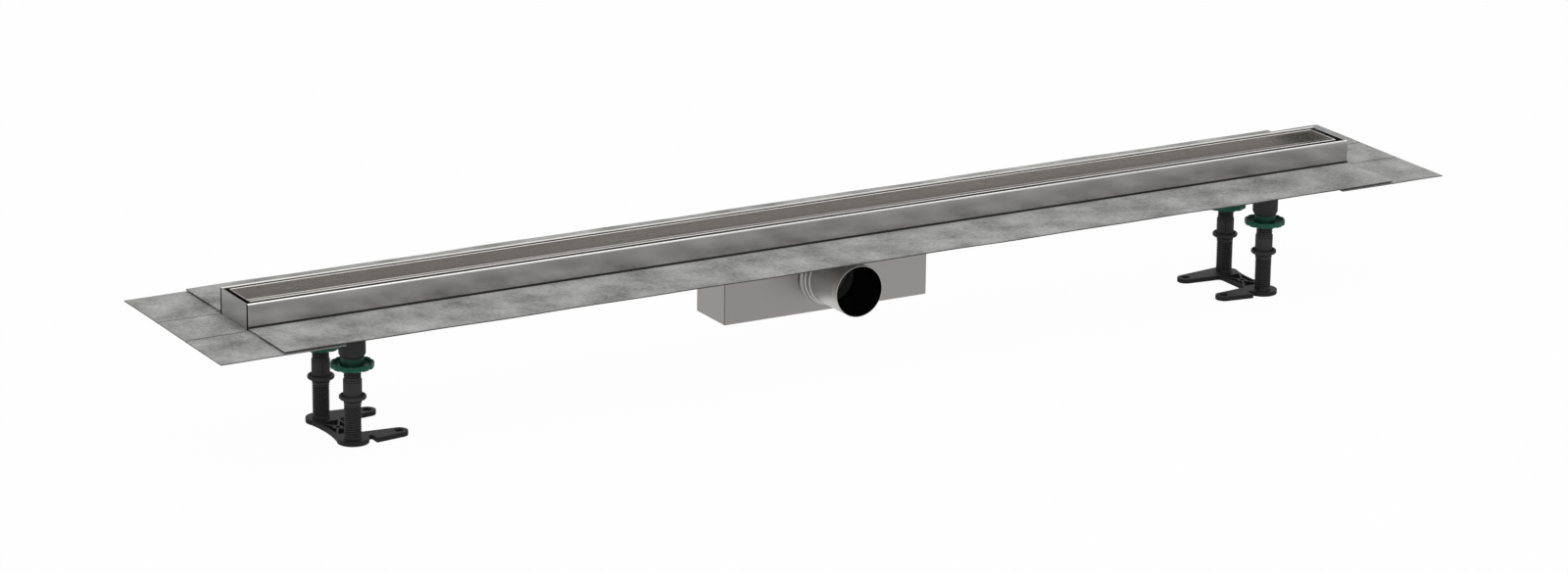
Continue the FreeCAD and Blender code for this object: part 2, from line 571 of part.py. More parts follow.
def make_base_plate(label, turned, place):
    """Moulded foot plate: two bosses for the studs, a pocketed web between them, two arms to screw down."""
    body = new_body(label, turned, x=place)
    sketch = new_sketch(body, "XY")
    add_circle(sketch, "0", "-post_offset", "boss_radius")
    add_circle(sketch, "0", "post_offset", "boss_radius")
    pad(body, sketch, "plate_thick")
    # The web's outer side is one shallow arc from boss to boss
    sketch = new_sketch(body, "XY")
    ends = [("-boss_radius", "post_offset"), ("web_inner", "post_offset"), ("web_inner", "-post_offset"),
            ("-boss_radius", "-post_offset")]
    corners = [FreeCAD.Vector(value(x), value(y), 0) for x, y in ends]
    for start, end in zip(corners, corners[1:]):
        sketch.addGeometry(Part.LineSegment(start, end))
    middle = FreeCAD.Vector(-value("web_outer"), 0, 0)
    sketch.addGeometry(Part.Arc(corners[3], middle, corners[0]))
    for item in range(2):
        sketch.addConstraint(Sketcher.Constraint("Coincident", item, 2, item + 1, 1))
    for item in range(3):
        pin_down(sketch, item, 1, *ends[item])
    pin_down(sketch, 2, 2, *ends[3])
    low, high = (1, 2) if sketch.getPoint(3, 1).y < 0 else (2, 1)
    sketch.addConstraint(Sketcher.Constraint("Coincident", 2, 2, 3, low))
    sketch.addConstraint(Sketcher.Constraint("Coincident", 0, 1, 3, high))
    bow = "(boss_radius - web_outer)"
    radius = "(post_offset * post_offset + %s * %s) / (2 * %s)" % (bow, bow, bow)
    index = sketch.addConstraint(Sketcher.Constraint("Radius", 3, value(radius)))
    sketch.setExpression("Constraints[%d]" % index, cells(radius))
    pad(body, sketch, "plate_thick")
    # Arms: each tapers to a round tip. The outer edge of the rear one runs smoothly on to its boss,
    # and a notch open to the outside parts the front one from its own.
    front = "" if turned else "-"
    for side in ("", "-"):
        sketch = new_sketch(body, "XY")
        reach = "post_offset - arm_root_half"
        points = [("arm_root", reach), ("arm_tip", "post_offset - arm_tip_radius")]
        if side == front:
            wide = "post_offset + arm_root_half"
            notch = "%s - notch_depth" % wide
            points += [("arm_tip", "post_offset + arm_tip_radius"), ("arm_shoulder", wide),
                       ("arm_shoulder", notch), ("0", notch)]
        else:
            points += [("%s + %s * sin(arm_lean)" % (x, radius), "post_offset + %s * cos(arm_lean)" % radius)
                       for x, radius in (("arm_tip", "arm_tip_radius"), ("0", "boss_radius"))]
        points.append(("0", reach))
        add_outline(sketch, [(x, "%s(%s)" % (side, y)) for x, y in points])
        pad(body, sketch, "plate_thick")
        sketch = new_sketch(body, "XY")
        add_circle(sketch, "arm_tip", side + "post_offset", "arm_tip_radius")
        pad(body, sketch, "plate_thick")
    inner = value("web_inner")
    round_edges(body, "web_fillet", lambda edge: runs_along(edge, along_z) and near(edge.BoundBox.XMax, inner)
                and abs(edge.BoundBox.YMax) < value("post_offset"))
    # Pocket in the web, with two crossing ribs and a hub left standing in it
    top = new_sketch(body, "XY", "plate_thick")
    middle = "pocket_shift"
    x, y = "pocket_width / 2", "pocket_length / 2"
    add_outline(top, [("%s - %s" % (middle, x), "-" + y), ("%s + %s" % (middle, x), "-" + y),
                      ("%s + %s" % (middle, x), y), ("%s - %s" % (middle, x), y)])
    pocket(body, top, "plate_thick - pocket_floor")
    for side in ("", "-"):
        rib = new_sketch(body, "XY", "pocket_floor")
        slope = "%stan(rib_angle)" % side
        reach = "pocket_width / 2"
        half = "rib_thick / 2 / cos(rib_angle)"
        run = "%s * %s" % (reach, slope)
        add_outline(rib, [(middle + " - " + reach, "-(%s) - %s" % (run, half)),
                          (middle + " + " + reach, "(%s) - %s" % (run, half)),
                          (middle + " + " + reach, "(%s) + %s" % (run, half)),
                          (middle + " - " + reach, "-(%s) + %s" % (run, half))])
        pad(body, rib, "plate_thick - pocket_floor")
    hub = new_sketch(body, "XY", "pocket_floor")
    add_circle(hub, middle, "0", "hub_radius")
    pad(body, hub, "plate_thick - pocket_floor")
    # Holes: through the hub, for the spigots, and the screw holes with their countersinks
    holes = new_sketch(body, "XY", "plate_thick")
    add_circle(holes, middle, "0", "hub_hole")
    for side in ("", "-"):
        add_circle(holes, "arm_tip", side + "post_offset", "plate_hole")
    pocket(body, holes)
    sockets = new_sketch(body, "XY", "plate_thick")
    for side in ("", "-"):
        add_circle(sockets, "0", side + "post_offset", "spigot_radius + spigot_fit")
    pocket(body, sockets, "spigot_depth")
    hole = value("plate_hole")
    height = value("plate_thick")
    round_edges(body, "plate_sink", lambda edge: is_ring(edge, hole) and near(edge.BoundBox.ZMin, height),
                kind="Chamfer")


def make_bracket_screws():
    """Four pan-head screws, one down through each end of a bracket into its socket."""
    screws = []
    for x in ("-foot_offset", "foot_offset"):
        for y in ("-post_offset", "post_offset"):
            head = doc.addObject("Part::Cylinder", "ScrewHead")
            bind(head, Radius="screw_head", Height="screw_head_height", x=x, y=y, z="floor_low")
            shank = doc.addObject("Part::Cylinder", "ScrewShank")
            bind(shank, Radius="screw_radius", Height="screw_length", x=x, y=y, z="floor_low - screw_length")
            screw = doc.addObject("Part::Fuse", "Screw")
            screw.Base = head
            screw.Tool = shank
            screws.append(screw)
    group = doc.addObject("Part::Compound", "bracket_screws")
    group.Label = "bracket_screws"
    group.Links = screws
    kept.append(group)


fill_sheet()
make_trough()
make_end_wall("end_wall_right", False)
make_end_wall("end_wall_left", True)
make_flange("flange_front", "-")
make_flange("flange_rear", "")
make_strip("membrane_front", -1)
make_strip("membrane_rear", 1)
make_membrane_end("membrane_right", False)
make_membrane_end("membrane_left", True)
make_tray()
for number, place in enumerate(("-spacer_outer", "-spacer_inner", "spacer_inner", "spacer_outer"), start=1):
    make_spacer("tray_spacer_%d" % number, place)
make_trap_housing()
make_outlet_pipe()
make_funnel()
make_seal()
make_cup()
make_strainer()
for hand, foot, turned in (("left", "-foot_offset", False), ("right", "foot_offset", True)):
    make_bracket("foot_bracket_" + hand, foot)
    make_base_plate("base_plate_" + hand, turned, foot)
    for end, post in (("front", "-post_offset"), ("rear", "post_offset")):
        spot = "%s_%s" % (hand, end)
        make_socket("socket_" + spot, foot, post)
        make_nut("height_nut_" + spot, foot, post)
        make_stud("stud_" + spot, foot, post, turned)
make_bracket_screws()

doc.recompute()
for thing in doc.Objects:
    if "Invalid" in thing.State or "Error" in thing.State:
        raise RuntimeError("%s (%s) did not recompute: %s" % (thing.Label, thing.Name, thing.State))
os.makedirs("parts", exist_ok=True)
for thing in kept:
    if thing.Shape.isNull() or not thing.Shape.isValid():
        raise RuntimeError("%s has no valid shape" % thing.Label)
for thing in kept:
    thing.Shape.exportStep("parts/%s.step" % thing.Label)
print("wrote %d parts" % len(kept))
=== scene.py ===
import math

import bmesh
import bpy
import numpy as np
from mathutils import Matrix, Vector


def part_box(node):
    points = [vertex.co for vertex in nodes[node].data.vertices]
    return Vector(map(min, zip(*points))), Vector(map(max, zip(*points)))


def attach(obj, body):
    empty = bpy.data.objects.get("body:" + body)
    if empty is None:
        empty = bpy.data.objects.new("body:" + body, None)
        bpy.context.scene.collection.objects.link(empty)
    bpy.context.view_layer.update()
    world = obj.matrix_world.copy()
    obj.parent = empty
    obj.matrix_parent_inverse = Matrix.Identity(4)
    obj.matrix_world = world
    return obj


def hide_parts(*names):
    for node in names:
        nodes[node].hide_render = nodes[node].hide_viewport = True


# A linear shower drain for a tiled floor, 1.2 m long, seen from the front left and above.
# The frame holds every piece; this script finishes them, lays the membrane as soft sheets, and turns
# the feet with their threads. Metres, +X along the channel, -Y the side of the outlet, +Z up.
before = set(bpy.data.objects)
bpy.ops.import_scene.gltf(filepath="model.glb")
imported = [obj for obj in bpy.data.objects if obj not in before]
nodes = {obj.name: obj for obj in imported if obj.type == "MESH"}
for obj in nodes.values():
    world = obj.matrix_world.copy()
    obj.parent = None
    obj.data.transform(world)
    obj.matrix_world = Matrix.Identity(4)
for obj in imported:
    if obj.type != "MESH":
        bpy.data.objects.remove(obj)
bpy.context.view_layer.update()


# Stainless channel.
# A folded trough with hemmed rims, closed by an end wall at each end; satin brushed along its length.
# Each sheet piece is the frame's own shape with its edges broken, as shearing and folding leave them.

MM = 0.001


class Shade:
    """A number that varies over a surface; arithmetic on it adds the Math nodes that work it out."""

    def __init__(self, tree, socket):
        self.tree = tree
        self.socket = socket

    def math(self, operation, *terms):
        node = self.tree.nodes.new("ShaderNodeMath")
        node.operation = operation
        for place, term in zip(node.inputs, terms):
            if isinstance(term, Shade):
                self.tree.links.new(term.socket, place)
            else:
                place.default_value = term
        return Shade(self.tree, node.outputs[0])

    def __add__(self, other):
        return self.math("ADD", self, other)

    def __radd__(self, other):
        return self.math("ADD", other, self)

    def __sub__(self, other):
        return self.math("SUBTRACT", self, other)

    def __rsub__(self, other):
        return self.math("SUBTRACT", other, self)

    def __mul__(self, other):
        return self.math("MULTIPLY", self, other)

    def __rmul__(self, other):
        return self.math("MULTIPLY", other, self)

    def __pow__(self, other):
        return self.math("POWER", self, other)

    def __abs__(self):
        return self.math("ABSOLUTE", self)


class Shading:
    """A tree of shader nodes. node() adds one with its settings and its inputs, and returns an output."""

    def __init__(self, tree):
        self.tree = tree

    def set(self, node, inputs):
        for key, value in inputs.items():
            if isinstance(value, Shade):
                self.tree.links.new(value.socket, node.inputs[key])
            elif isinstance(value, tuple) and len(value) == 3 and node.inputs[key].type == "RGBA":
                node.inputs[key].default_value = (*value, 1.0)
            else:
                node.inputs[key].default_value = value

    def node(self, kind, settings=None, inputs=None, output=0):
        node = self.tree.nodes.new(kind)
        for key, value in (settings or {}).items():
            setattr(node, key, value)
        self.set(node, inputs or {})
        return Shade(self.tree, node.outputs[output])


class Finish(Shading):
    """A new material with its constants; dress() gives its shader what varies over the surface."""

    def __init__(self, name, **constants):
        self.material = bpy.data.materials.new(name)
        self.material.use_nodes = True
        super().__init__(self.material.node_tree)
        self.shader = self.tree.nodes["Principled BSDF"]
        self.dress(**constants)
        self.place = self.node("ShaderNodeTexCoord", output="Object")

    def dress(self, **values):
        self.set(self.shader, {key.replace("_", " "): value for key, value in values.items()})
        return self.material

    def noise(self, stretch, detail=2.0, rough=0.5):
        """Noise from 0 to 1 over the piece; stretch is its waves per metre along X, Y and Z."""
        spread = self.node("ShaderNodeMapping", {"vector_type": "POINT"},
                           {"Vector": self.place, "Scale": stretch})
        return self.node("ShaderNodeTexNoise", None,
                         {"Vector": spread, "Scale": 1.0, "Detail": detail, "Roughness": rough})

    def blend(self, share, first, second):
        """Colour between two colours, by a share from 0 to 1."""
        return self.node("ShaderNodeMix", {"data_type": "RGBA"}, {0: share, 6: first, 7: second}, 2)

    def along(self, axis):
        """The place along X, Y or Z, in metres."""
        return self.node("ShaderNodeSeparateXYZ", None, {"Vector": self.place}, axis)

    def ramp(self, value, start, end):
        """0 up to a start and 1 from an end on."""
        return self.node("ShaderNodeMapRange", None, {"Value": value, "From Min": start, "From Max": end})

    def ramp_outwards(self, squared, start, end):
        """The same over the square of a distance in metres, from and to distances in millimetres."""
        return self.ramp(squared, (start * MM) ** 2, (end * MM) ** 2)

    def relief(self, height, depth):
        """Bump from a height of 0 to 1 that stands for a depth in metres."""
        return self.node("ShaderNodeBump", None, {"Height": height, "Distance": depth, "Strength": 1.0})


def tone(red, green, blue):
    """Colour as written on screen, 0 to 255, worked out as light: the sRGB curve."""
    shares = [value / 255 for value in (red, green, blue)]
    return tuple(s / 12.92 if s <= 0.04045 else ((s + 0.055) / 1.055) ** 2.4 for s in shares)


def brushed(name, light, dark, waves, rough, depth=1.2e-6, marks=()):
    """Satin steel: fine streaks along one direction under a slow cloudiness, in tone, gloss and relief.

    Each of the marks is a share of the surface, mark(steel) from 0 to 1, and the two tones it has there.
    """
    steel = Finish(name, Metallic=1.0)
    streaks = steel.noise(waves, 3.0, 0.6)
    cloud = steel.noise(tuple(3 + wave / 60 for wave in waves), 3.0)
    wear = streaks * 0.3 + cloud * 0.7
    face = steel.blend(wear, dark, light)
    for mark, mark_light, mark_dark in marks:
        face = steel.blend(mark(steel), face, steel.blend(wear, mark_dark, mark_light))
    return steel.dress(Base_Color=face,
                       Roughness=rough - 0.05 + streaks * 0.06 + cloud * 0.08,
                       Normal=steel.relief(streaks, depth))


def placed(piece, body, node=None):
    """A finished piece, put in the scene on its body, and in place of the frame's node if it has one."""
    bpy.context.scene.collection.objects.link(piece)
    if node is not None:
        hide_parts(node)
    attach(piece, body)
    return piece


ONE_POINT = 0.001 * MM
ONE_PLANE = math.radians(0.6)
SHARP_FOLD = math.radians(32)
CUT_EDGE = math.radians(40)


def softened(node, break_mm, material, body="channel", segments=2):
    """The frame's piece with its loose triangles joined, its flat faces whole and its edges broken."""
    piece = nodes[node].copy()
    piece.data = nodes[node].data.copy()
    piece.name = node + "_finished"
    joined = bmesh.new()
    joined.from_mesh(piece.data)
    bmesh.ops.remove_doubles(joined, verts=joined.verts, dist=ONE_POINT)
    bmesh.ops.dissolve_limit(joined, angle_limit=ONE_PLANE, verts=joined.verts, edges=joined.edges)
    joined.to_mesh(piece.data)
    joined.free()
    if piece.data.attributes.get("custom_normal"):
        piece.data.attributes.remove(piece.data.attributes["custom_normal"])
    piece.data.shade_smooth()
    piece.data.set_sharp_from_angle(angle=SHARP_FOLD)
    bevel = piece.modifiers.new("broken edges", "BEVEL")
    bevel.width = break_mm * MM
    bevel.segments = segments
    bevel.limit_method = "ANGLE"
    bevel.angle_limit = CUT_EDGE
    bevel.harden_normals = True
    bevel.use_clamp_overlap = True
    flatten = piece.modifiers.new("flat faces stay flat", "WEIGHTED_NORMAL")
    flatten.keep_sharp = True
    piece.data.materials.clear()
    piece.data.materials.append(material)
    return placed(piece, body, node)


channel_end, channel_side, channel_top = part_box("channel_trough")[1]
channel_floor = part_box("channel_trough")[0][2]
wall_foot_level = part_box("membrane_front")[1][2]
end_wall_side, end_wall_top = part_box("end_wall_left")[1][1:]


def trough_end_shade(steel):
    """The trough's ends, painted dark as painted shade in the corner slits."""
    return steel.ramp(abs(steel.along("X")), channel_end - 0.3 * MM, channel_end - 0.1 * MM)


def rear_rim_shade(steel):
    """The rounded top of the rear hem, painted darker than the walls and the front hem: painted shade."""
    rear = steel.ramp(steel.along("Y"), -1 * MM, 1 * MM)
    return rear * steel.ramp(steel.along("Z"), channel_top - 2.2 * MM, channel_top - 1.2 * MM)


def wall_foot_shade(steel):
    """The foot of the long walls, painted darker over 9 mm: painted shade, with the painted reflection of
    the grey membrane.
    """
    return 1 - steel.ramp(steel.along("Z"), wall_foot_level, wall_foot_level + 9 * MM)


def wall_edge(steel):
    """The sheared top edge of an end wall, duller than its face."""
    return steel.ramp(steel.along("Z"), end_wall_top - 0.6 * MM, end_wall_top - 0.3 * MM)


def wall_side_shade(steel):
    """The two upright edges of an end wall, down in the slits beside the long walls, painted near black as
    painted shade in the slits.
    """
    return steel.ramp(abs(steel.along("Y")), end_wall_side - 0.8 * MM, end_wall_side - 0.5 * MM)


SHEARED = tone(90, 89, 87), tone(78, 77, 75)
# Painted shade: the near-black tones of the shadow down in the corner slits.
SLIT_SHADE = tone(26, 26, 26), tone(18, 18, 18)
# Painted shade and reflection: the rear hem's top, the long walls' feet and the trough's ends in the corner
# slits are painted darker.
channel_steel = brushed("channel_steel", tone(220, 219, 217), tone(193, 192, 190), (4, 900, 900), 0.14,
                        marks=((rear_rim_shade, tone(192, 191, 189), tone(168, 167, 165)),
                               (wall_foot_shade, tone(199, 198, 196), tone(175, 174, 172)),
                               (trough_end_shade, tone(52, 51, 50), tone(42, 41, 40))))
wall_steel = brushed("end_wall_steel", tone(224, 224, 223), tone(198, 198, 197), (900, 4, 900), 0.24,
                     marks=((wall_edge, *SHEARED), (wall_side_shade, *SLIT_SHADE)))
softened("channel_trough", 0.15, channel_steel)
softened("end_wall_left", 0.18, wall_steel)
softened("end_wall_right", 0.18, wall_steel)


def closed(name, points, faces, material, sharp):
    """A closed surface of points in mm: doubles merged, faces outwards, edges sharp from an angle on."""
    mesh = bpy.data.meshes.new(name)
    mesh.from_pydata((points * MM).tolist(), [], faces)
    clean = bmesh.new()
    clean.from_mesh(mesh)
    bmesh.ops.remove_doubles(clean, verts=clean.verts, dist=ONE_POINT / 10)
    bmesh.ops.recalc_face_normals(clean, faces=clean.faces)
    clean.to_mesh(mesh)
    clean.free()
    mesh.shade_smooth()
    mesh.set_sharp_from_angle(angle=math.radians(sharp))
    mesh.materials.append(material)
    return bpy.data.objects.new(name, mesh)


def beads(name, runs, material):
    """Quarter-round beads, each given as its start, its end, its width and its height, vectors in mm.

    A section is width cos(a) + height sin(a) for a from 0 to 90 degrees, closed by a corner 0.2 mm back.
    """
    turn = np.linspace(0, np.pi / 2, 6)[:, None]
    points, faces = [], []
    for number, (start, end, width, height) in enumerate(np.array(runs, float)):
        corner = -0.2 * (width / np.linalg.norm(width) + height / np.linalg.norm(height))
        section = np.vstack([width * np.cos(turn) + height * np.sin(turn), corner])
        points += [start + section, end + section]
        near = np.arange(len(section)) + 2 * len(section) * number
        far = near + len(section)
        faces += np.stack([near, np.roll(near, -1), np.roll(far, -1), far], axis=-1).tolist()
        faces += [near[::-1].tolist(), far.tolist()]
    return placed(closed(name, np.vstack(points), faces, material, 50), "channel")


SHEET, HEM, WELD = 1.2, 6, 1.5
weld_steel = brushed("weld_steel", tone(126, 122, 116), tone(98, 95, 92), (240, 240, 500), 0.42, 6e-6)
inner_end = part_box("end_wall_right")[0][0] / MM
inner_side = channel_side / MM - SHEET
inner_floor = channel_floor / MM + SHEET
beads("corner_welds", [((end * inner_end, side * inner_side, inner_floor),
                        (end * inner_end, side * inner_side, channel_top / MM - HEM),
                        (-end * WELD, 0, 0), (0, -side * WELD, 0)) for end in (-1, 1) for side in (-1, 1)],
      weld_steel)


# Tile tray.
# A folded tray of the same sheet, brushed along its length, that takes a strip of floor tile.
# Four black moulded bridges carry it clear of the channel and centre it between the rims.

tray_low, tray_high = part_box("tile_tray")
tray_middle, tray_half = (tray_low[0] + tray_high[0]) / 2, (tray_high[0] - tray_low[0]) / 2


def tray_ends(steel):
    """The sheared edges of the tray's two end walls, as thick as the sheet."""
    off_middle = abs(steel.along("X") - tray_middle)
    return steel.ramp(off_middle, tray_half - SHEET * MM, tray_half - 1 * MM)


def tray_depth_shade(steel):
    """Painted shade: darker down towards the tray's floor, with the plain tone at the rims."""
    return 1 - steel.ramp(steel.along("Z"), tray_high[2] - 13 * MM, tray_high[2] - 0.5 * MM)


# The tray is painted darker below its rims: painted shade in the recess.
tray_steel = brushed("tray_steel", tone(206, 204, 201), tone(184, 182, 179), (4, 800, 800), 0.24,
                     marks=((tray_depth_shade, tone(162, 160, 158), tone(142, 140, 138)),
                            (tray_ends, *SHEARED)))
softened("tile_tray", 0.15, tray_steel)


def moulded(name, light, dark, grain=2600, rough=0.6, shine=0.25, marks=()):
    """Injection-moulded plastic: a fine spark-eroded grain, slight flow marks and a dull sheen.

    Each of the marks is a share of the surface, mark(plastic) from 0 to 1, and the tone it has there.
    """
    plastic = Finish(name, IOR=1.47, Specular_IOR_Level=shine)
    fine = plastic.noise((grain, grain, grain), 2.0)
    flow = plastic.noise((40, 40, 90), 3.0)
    face = plastic.blend(flow, dark, light)
    for mark, mark_tone in marks:
        face = plastic.blend(mark(plastic), face, mark_tone)
    return plastic.dress(Base_Color=face,
                         Roughness=rough + fine * 0.12 - flow * 0.08,
                         Normal=plastic.relief(fine, 1.2e-5))


spacer_plastic = moulded("spacer_plastic", tone(66, 66, 66), tone(48, 48, 48))
for number in range(1, 5):
    softened("tray_spacer_%d" % number, 0.3, spacer_plastic)


# Flange angles and foot brackets.
# Plain stainless strip, cut and folded, spot-welded to the channel; mill finish with a faint roll grain.
# The hair strainer and the bracket screws are of the same plain steel.

fitting_steel = brushed("fitting_steel", tone(180, 180, 180), tone(158, 158, 158), (30, 300, 300), 0.32)
for node in ("flange_front", "flange_rear"):
    softened(node, 0.12, fitting_steel)
for node in ("foot_bracket_left", "foot_bracket_right", "hair_strainer"):
    softened(node, 0.2, fitting_steel)
softened("bracket_screws", 0.4, fitting_steel, segments=3)


# Sealing membrane.
# Grey fleece-faced sheet in four pieces: two strips bonded on the flanges and an end piece under each
# end, scored twice so that it folds round the channel's corner. Soft enough to lie a little wavy.

fleece = Finish("membrane_fleece", Specular_IOR_Level=0.2, Sheen_Weight=0.1)
patches = fleece.noise((26, 26, 26), 2.0, 0.5)
flecks = fleece.noise((300, 300, 300), 5.0, 0.75)
fibres = fleece.noise((1500, 1500, 1500), 2.0, 0.6)
mottle = fleece.ramp(patches * 0.5 + flecks * 0.5, 0.34, 0.67)
# Painted shade: the end pieces are painted darker just outside the end walls, for the soft contact shadow
# at the walls' feet.
beyond_end = 1 - fleece.ramp(abs(fleece.along("X")) - channel_end, 0, 14 * MM)
wall_contact_shade = beyond_end * (1 - fleece.ramp(abs(fleece.along("Y")), 26 * MM, 36 * MM))
unshaded_face = fleece.blend(mottle, tone(99, 99, 98), tone(179, 179, 178))
membrane_fleece = fleece.dress(Base_Color=fleece.blend(wall_contact_shade * 0.5, unshaded_face, tone(84, 84, 83)),
                               Roughness=0.86 + flecks * 0.1,
                               Normal=fleece.relief(flecks * 0.6 + fibres * 0.4, 2.0e-4))


def kneaded(name, dark, light, lumps_per_metre=300, rough=0.7):
    """A dull soft mass: one set of lumps in tone, gloss and relief."""
    mass = Finish(name, Specular_IOR_Level=0.2)
    lumps = mass.noise((lumps_per_metre, lumps_per_metre, lumps_per_metre), 2.0)
    return mass.dress(Base_Color=mass.blend(lumps, dark, light),
                      Roughness=rough + lumps * 0.15, Normal=mass.relief(lumps, 5e-5))


# Painted shade: the dark edge material of the scored grooves and of the strips' cut edges.
membrane_edge_shade = kneaded("membrane_edge_shade", tone(66, 66, 66), tone(84, 84, 83))
membrane_cut = kneaded("membrane_cut", tone(104, 104, 103), tone(132, 132, 131), 400, 0.8)
dark_foot_line = kneaded("foot_line_dark", tone(12, 12, 12), tone(22, 22, 21))

# Rim material 1 is the edge painted dark as painted shade, 2 is shorn fleece.
SHADED_RIM, FLEECE_RIM = 1, 2
THICKNESS, GROOVE = 1.1, 0.5
STRIP_END, STRIP_ROOT, BONDED, OUTER_EDGE = 600, 30.4, 55, 108
LAP_START, END_EDGE = 540, 661
WAVES_START, WAVES_FULL = 602, 660
NOTCH_END, NOTCH_SIDE = 600.05, 31.5
SCORE_START, SCORE_INNER, SCORE_OUTER = 603, 30.28, 31.42


def lines(*stops):
    """Grid lines through the stops, in millimetres, with about even steps of 6 mm between them."""
    runs = [np.linspace(a, b, max(2, int(abs(b - a) / 6) + 2))[:-1] for a, b in zip(stops, stops[1:])]
    return np.append(np.concatenate(runs), stops[-1])


def nowhere(x, y):
    """No part of a sheet."""
    return np.zeros(x.shape, bool)


def membrane(node, across, along, top, waves, cut=nowhere, score=nowhere, rim=SHADED_RIM):
    """A sheet on a grid of x and y lines, 1.1 mm thick under its top.

    Its height is the top, plus slow waves that are nil where it is bonded and grow outwards: the
    amplitude times sin(2 pi x / 290 + 0.7) + sin(2 pi x / 133 + y / 40), over 2. Grid faces where
    cut(x, y) is true are left out, and score(x, y) is pressed in by 0.5 mm. The scored grooves are
    painted dark: painted shade in the creases. The rim picks the cut edges' material, 1 for an edge
    painted dark as painted shade and 2 for shorn fleece.
    """
    x, y = np.meshgrid(across, along, indexing="ij")
    swell = np.sin(2 * np.pi * x / 290 + 0.7) + np.sin(2 * np.pi * x / 133 + y / 40)
    z = top + waves(x, y) * swell / 2 - GROOVE * score(x, y)
    points = np.stack([x, y, z], axis=-1).reshape(-1, 3) * MM
    index = np.arange(x.size).reshape(x.shape)
    faces = np.stack([index[:-1, :-1], index[1:, :-1], index[1:, 1:], index[:-1, 1:]], axis=-1)
    middle_x, middle_y = (x[:-1, :-1] + x[1:, 1:]) / 2, (y[:-1, :-1] + y[1:, 1:]) / 2
    kept = ~cut(middle_x, middle_y)
    dark = score(middle_x, middle_y)[kept]
    sheet = bpy.data.meshes.new(node + "_sheet")
    sheet.from_pydata(points, [], faces[kept].tolist())
    for material in (membrane_fleece, membrane_edge_shade, membrane_cut):
        sheet.materials.append(material)
    sheet.polygons.foreach_set("material_index", dark.astype(np.int32))
    sheet.shade_smooth()
    used = bmesh.new()
    used.from_mesh(sheet)
    bmesh.ops.delete(used, geom=[v for v in used.verts if not v.link_faces], context="VERTS")
    used.to_mesh(sheet)
    used.free()
    piece = bpy.data.objects.new(node + "_sheet", sheet)
    thick = piece.modifiers.new("thickness", "SOLIDIFY")
    thick.thickness = THICKNESS * MM
    thick.offset = -1
    thick.material_offset_rim = rim
    edge = piece.modifiers.new("cut edge", "BEVEL")
    edge.width = 0.2 * MM
    edge.segments = 2
    edge.limit_method = "ANGLE"
    edge.angle_limit = math.radians(60)
    return placed(piece, "channel", node)


def strip_waves(x, y):
    """Nil as far as the flange reaches, 55 mm, then up to 0.35 mm at the outer edge."""
    return 0.35 * np.clip((np.abs(y) - BONDED) / (OUTER_EDGE - BONDED), 0, 1)


def end_waves(x, y):
    """Nil under the strips and by the channel, then up to 0.5 mm at the outer edge."""
    return 0.5 * np.clip((np.abs(x) - WAVES_START) / (WAVES_FULL - WAVES_START), 0, 1)


def end_cut(x, y):
    """The notch for the channel."""
    return (np.abs(x) < NOTCH_END) & (np.abs(y) < NOTCH_SIDE)


def end_score(x, y):
    """The two grooves that the end piece folds along, on from the channel's corners."""
    return (np.abs(x) > SCORE_START) & (np.abs(y) > SCORE_INNER) & (np.abs(y) < SCORE_OUTER)


strip_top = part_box("membrane_rear")[1][2] / MM
end_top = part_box("membrane_right")[1][2] / MM
for node, along in (("membrane_front", lines(-OUTER_EDGE, -BONDED, -STRIP_ROOT)),
                    ("membrane_rear", lines(STRIP_ROOT, BONDED, OUTER_EDGE))):
    strip = membrane(node, lines(-STRIP_END, STRIP_END), along, strip_top, strip_waves)
groove = np.array([SCORE_INNER - 0.03, SCORE_INNER + 0.07, SCORE_OUTER - 0.07, SCORE_OUTER + 0.03])
end_lines = lines(-OUTER_EDGE, -NOTCH_SIDE, *-groove[::-1], *groove, NOTCH_SIDE, OUTER_EDGE)
for node, side in (("membrane_left", -1), ("membrane_right", 1)):
    across = np.sort(side * lines(LAP_START, NOTCH_END, SCORE_START, END_EDGE))
    end = membrane(node, across, end_lines, end_top, end_waves, end_cut, end_score, FLEECE_RIM)

# A near-black bead along the foot of each long wall draws a dark line at the joint.
wall_line = 30
beads("foot_line_bead", [((-STRIP_END, side * wall_line, strip_top), (STRIP_END, side * wall_line, strip_top),
                        (0, side * 1.7, 0), (0, 0, 1.4)) for side in (-1, 1)],
      dark_foot_line)


# Trap box and outlet.
# A box of folded sheet, welded under the trough, with a collar pulled out of its front. The outlet is
# a stub of drawn DN50 tube, welded on: a heat-tinted bead of overlapping ripples runs round the joint.

trap_low, trap_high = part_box("trap_housing")
pipe_low, pipe_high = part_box("outlet_pipe")
pipe_level = (pipe_low[2] + pipe_high[2]) / 2
pipe_end, pipe_root = -pipe_low[1] / MM, -pipe_high[1] / MM
TUBE, BORE = 25.0, 24.0


def corner_seams(steel):
    """The ground welds up the four corners of the box."""
    near_end = steel.ramp(abs(steel.along("X")), trap_high[0] - 1.1 * MM, trap_high[0] - 0.7 * MM)
    near_side = steel.ramp(abs(steel.along("Y")), trap_high[1] - 1.1 * MM, trap_high[1] - 0.7 * MM)
    return near_end * near_side


def from_outlet(metal):
    """The square of the way from the outlet's middle line, in square metres."""
    return metal.along("X") ** 2 + (metal.along("Z") - pipe_level) ** 2


def collar(steel):
    """The outside of the collar in front of the sheet, polished by the drawing die."""
    standing = 1 - steel.ramp(steel.along("Y"), trap_low[1] + 4 * MM, trap_low[1] + 5 * MM)
    return standing * steel.ramp_outwards(from_outlet(steel), TUBE + 0.6, TUBE + 1)


